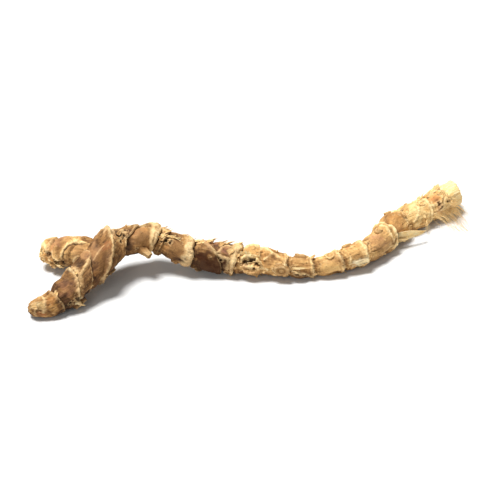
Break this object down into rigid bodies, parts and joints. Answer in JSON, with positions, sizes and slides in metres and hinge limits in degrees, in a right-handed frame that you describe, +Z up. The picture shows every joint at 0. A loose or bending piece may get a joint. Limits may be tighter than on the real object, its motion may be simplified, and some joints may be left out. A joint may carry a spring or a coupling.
{
  "type": "sweet flag root",
  "caption": "Dried sweet flag rhizome: a long curved ringed stem that forks at one end, with root scars and dry leaf-base scales, lying on a surface.",
  "frame": {"origin": "on the surface it lies on, under the middle of its box", "axes": "+X towards the cut end, along the root's length; +Y away from the fork's open side; +Z up from the surface"},
  "size_m": [0.1204, 0.0614, 0.0143],
  "materials": {
    "bark": "dry matt skin, brown between cream leaf-scar bands"
  },
  "bodies": {
    "root": {"rhizome": "bark"}
  },
  "joints": []
}
